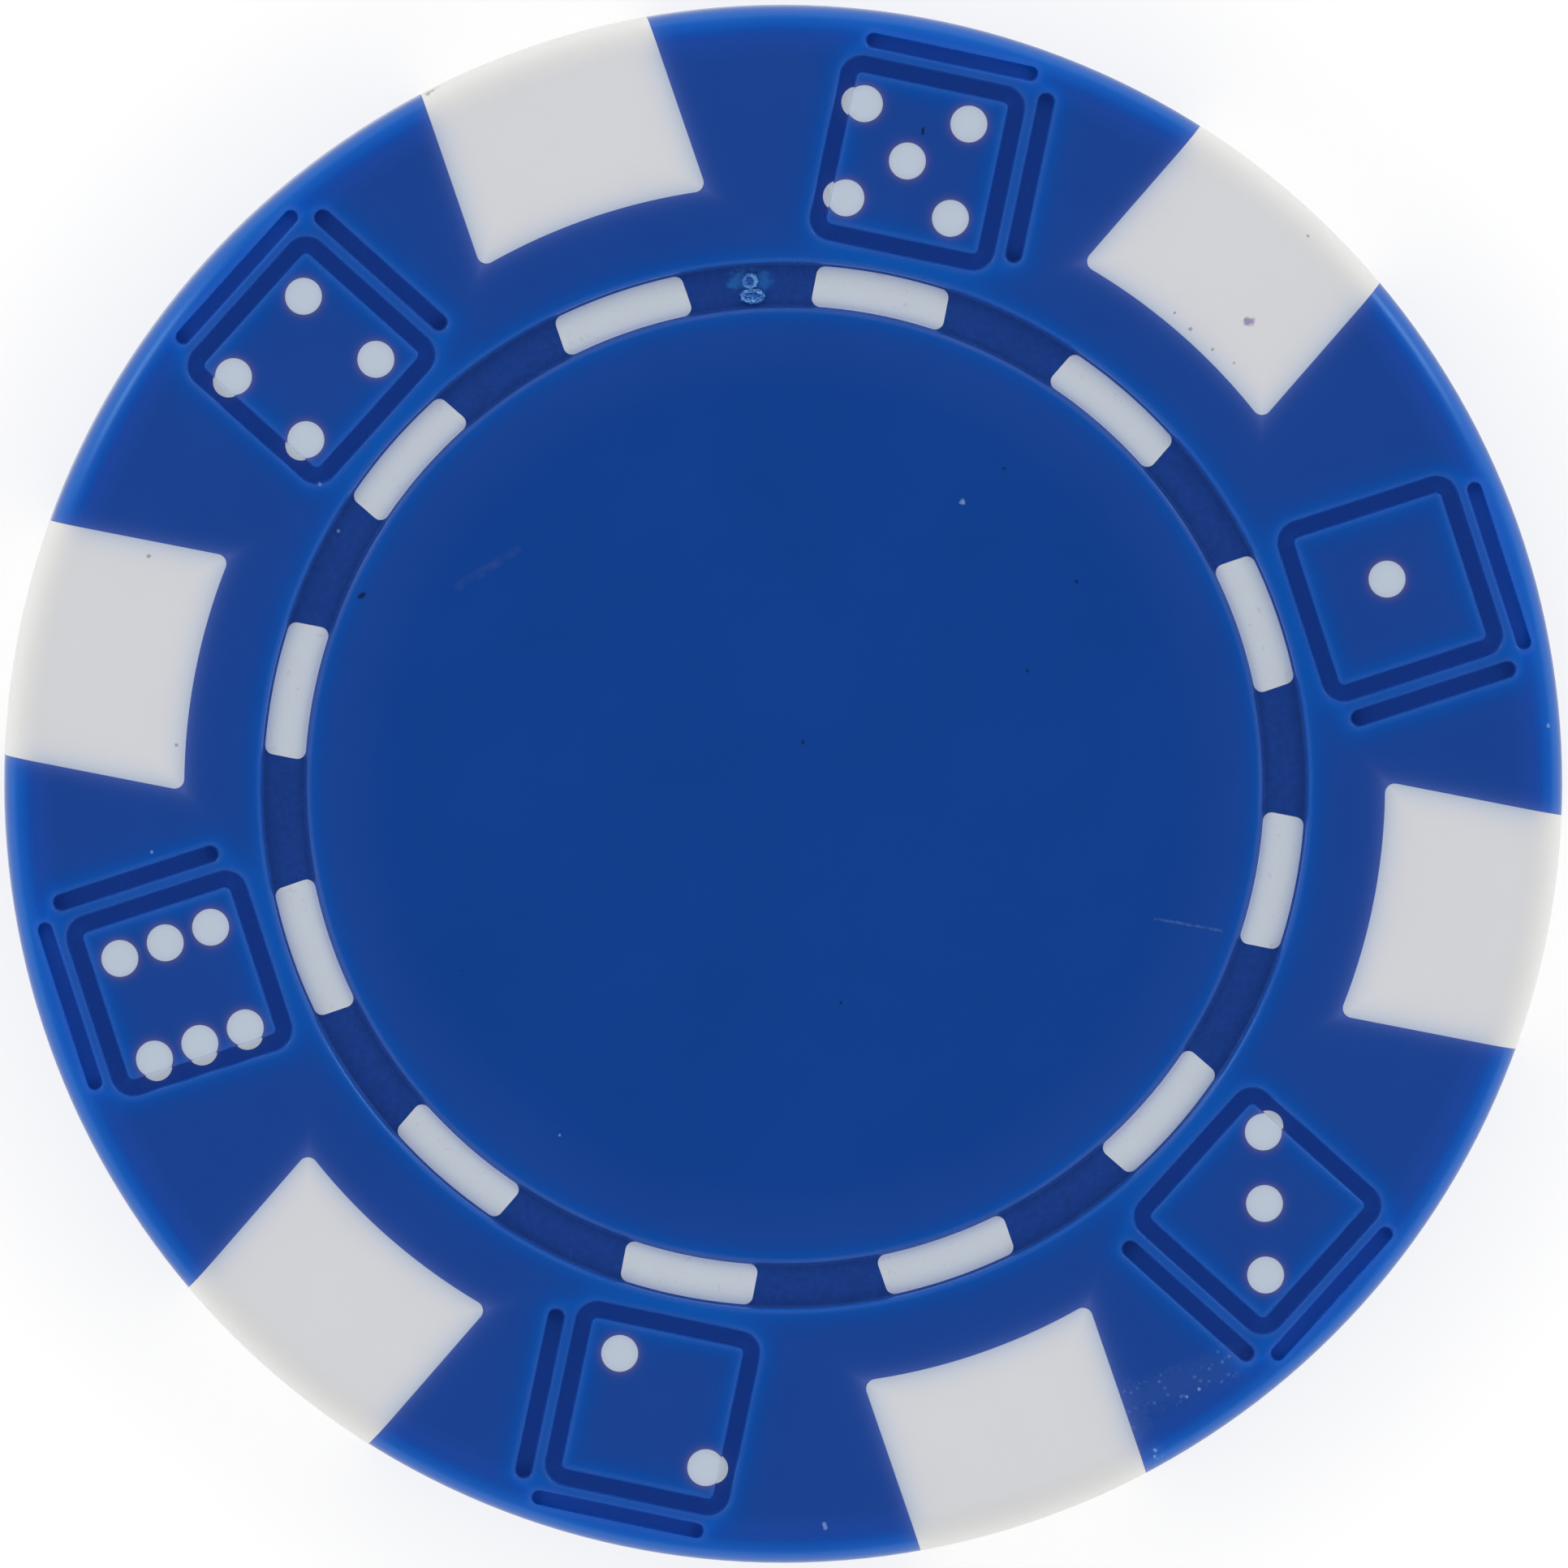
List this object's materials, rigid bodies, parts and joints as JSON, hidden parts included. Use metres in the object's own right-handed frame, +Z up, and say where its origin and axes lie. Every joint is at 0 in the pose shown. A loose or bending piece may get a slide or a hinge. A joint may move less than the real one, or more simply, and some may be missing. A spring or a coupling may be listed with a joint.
{
  "type": "poker chip ball marker",
  "caption": "Round two-colour moulded chip with a steel weight inside; dice, a dashed ring and edge spots on both faces, lying flat to mark a golf ball's place.",
  "frame": {"origin": "middle of the lower face, on the surface that the chip lies on", "axes": "+Z up through the chip's thickness, +X and +Y across its face"},
  "size_m": [0.04, 0.04, 0.0033],
  "materials": {
    "steel": "bare stamped steel, hidden inside",
    "white_plastic": "satin moulded white plastic, slightly translucent",
    "blue_plastic": "satin moulded blue plastic, glossier on the groove floors"
  },
  "bodies": {
    "root": {"steel_slug": "steel", "white_core": "white_plastic", "blue_jacket": "blue_plastic"}
  },
  "joints": []
}
